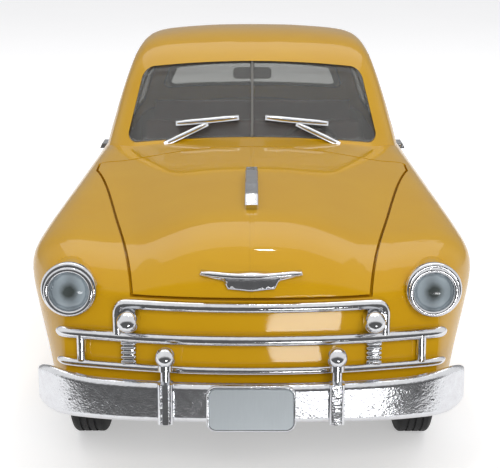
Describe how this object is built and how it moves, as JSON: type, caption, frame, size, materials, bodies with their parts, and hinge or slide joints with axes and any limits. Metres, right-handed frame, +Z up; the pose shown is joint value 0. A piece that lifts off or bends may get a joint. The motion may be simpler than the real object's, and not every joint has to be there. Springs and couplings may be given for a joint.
{
  "type": "friction toy car",
  "caption": "Early-1950s saloon toy car with a painted shell, opening hood, plated grille and bumpers, clear panes, rubber tyres and a geared flywheel friction motor on the rear axle.",
  "frame": {"origin": "under the middle of the car, on the plane the tyres stand on", "axes": "+Z up, +Y from the front bumper to the tail, +X towards the steering-wheel side"},
  "size_m": [0.0794, 0.209, 0.0699],
  "materials": {
    "body_paint": "gloss enamel",
    "plated_trim": "bright plating on moulded plastic",
    "plate_metal": "satin, bare",
    "clear_pane": "clear moulded plastic",
    "lamp_lens": "clear, lightly fluted",
    "lamp_bowl": "bright bowl",
    "red_lens": "translucent red",
    "tyre_rubber": "matt black rubber",
    "base_plastic": "satin black enamel on pressed steel",
    "interior_plastic": "moulded, leather-like",
    "dash_plastic": "moulded",
    "engine_plastic": "moulded",
    "steel": "drawn wire and pressed sheet",
    "flywheel_metal": "turned",
    "gear_plastic": "natural nylon"
  },
  "bodies": {
    "car": {"base_plate": "base_plastic", "base_screws": "steel", "body_shell": "body_paint", "bumper_guard_left": "plated_trim", "bumper_guard_right": "plated_trim", "dashboard": "dash_plastic", "door_handle_left": "plated_trim", "door_handle_right": "plated_trim", "engine_bay": "engine_plastic", "front_bumper": "plated_trim", "front_plate": "plate_metal", "front_seat": "interior_plastic", "grille_lower_bar": "plated_trim", "grille_middle_bar": "plated_trim", "grille_upper_bar": "plated_trim", "headlight_bezel_left": "plated_trim", "headlight_bezel_right": "plated_trim", "headlight_lens_left": "lamp_lens", "headlight_lens_right": "lamp_lens", "headlight_reflector_left": "lamp_bowl", "headlight_reflector_right": "lamp_bowl", "hood_hinge_rod": "steel", "interior_tub": "interior_plastic", "motor_frame": "steel", "parking_lamp_left": "plated_trim", "parking_lamp_right": "plated_trim", "rear_bumper": "plated_trim", "rear_plate": "plate_metal", "rear_seat": "interior_plastic", "rear_view_mirror": "dash_plastic", "rear_window_glass": "clear_pane", "side_glass_left": "clear_pane", "side_glass_right": "clear_pane", "steering_wheel": "dash_plastic", "tail_lamp_lens_left": "red_lens", "tail_lamp_lens_right": "red_lens", "tail_lamp_rim_left": "plated_trim", "tail_lamp_rim_right": "plated_trim", "windshield_glass": "clear_pane", "wiper_left": "plated_trim", "wiper_right": "plated_trim"},
    "hood": {"hood_panel": "body_paint", "hood_badge": "plated_trim", "hood_ornament": "plated_trim"},
    "front_wheels": {"front_axle": "steel", "front_wheel_left": "plated_trim", "front_wheel_right": "plated_trim", "front_tyre_left": "tyre_rubber", "front_tyre_right": "tyre_rubber"},
    "rear_wheels": {"rear_axle": "steel", "rear_wheel_left": "plated_trim", "rear_wheel_right": "plated_trim", "rear_tyre_left": "tyre_rubber", "rear_tyre_right": "tyre_rubber", "axle_gear": "gear_plastic"},
    "idler": {"idler_shaft": "steel", "idler_gear": "gear_plastic"},
    "flywheel": {"flywheel": "flywheel_metal", "flywheel_shaft": "steel"}
  },
  "joints": [
    {"name": "hood_hinge", "type": "hinge", "parent": "car", "child": "hood", "pos_m": [0, -0.0327, 0.0454], "axis": [-1, 0, 0], "range_deg": [0, 50]},
    {"name": "front_axle_spin", "type": "hinge", "parent": "car", "child": "front_wheels", "pos_m": [0, -0.0695, 0.015], "axis": [1, 0, 0], "continuous": true},
    {"name": "rear_axle_spin", "type": "hinge", "parent": "car", "child": "rear_wheels", "pos_m": [0, 0.0522, 0.015], "axis": [1, 0, 0], "continuous": true},
    {"name": "idler_spin", "type": "hinge", "parent": "car", "child": "idler", "pos_m": [0, 0.0472, 0.02366], "axis": [1, 0, 0], "continuous": true},
    {"name": "flywheel_spin", "type": "hinge", "parent": "car", "child": "flywheel", "pos_m": [0, 0.03735, 0.0254], "axis": [1, 0, 0], "continuous": true}
  ],
  "couplings": [
    {"joint": "idler_spin", "follows": "rear_axle_spin", "ratio": -3},
    {"joint": "flywheel_spin", "follows": "rear_axle_spin", "ratio": 9}
  ]
}
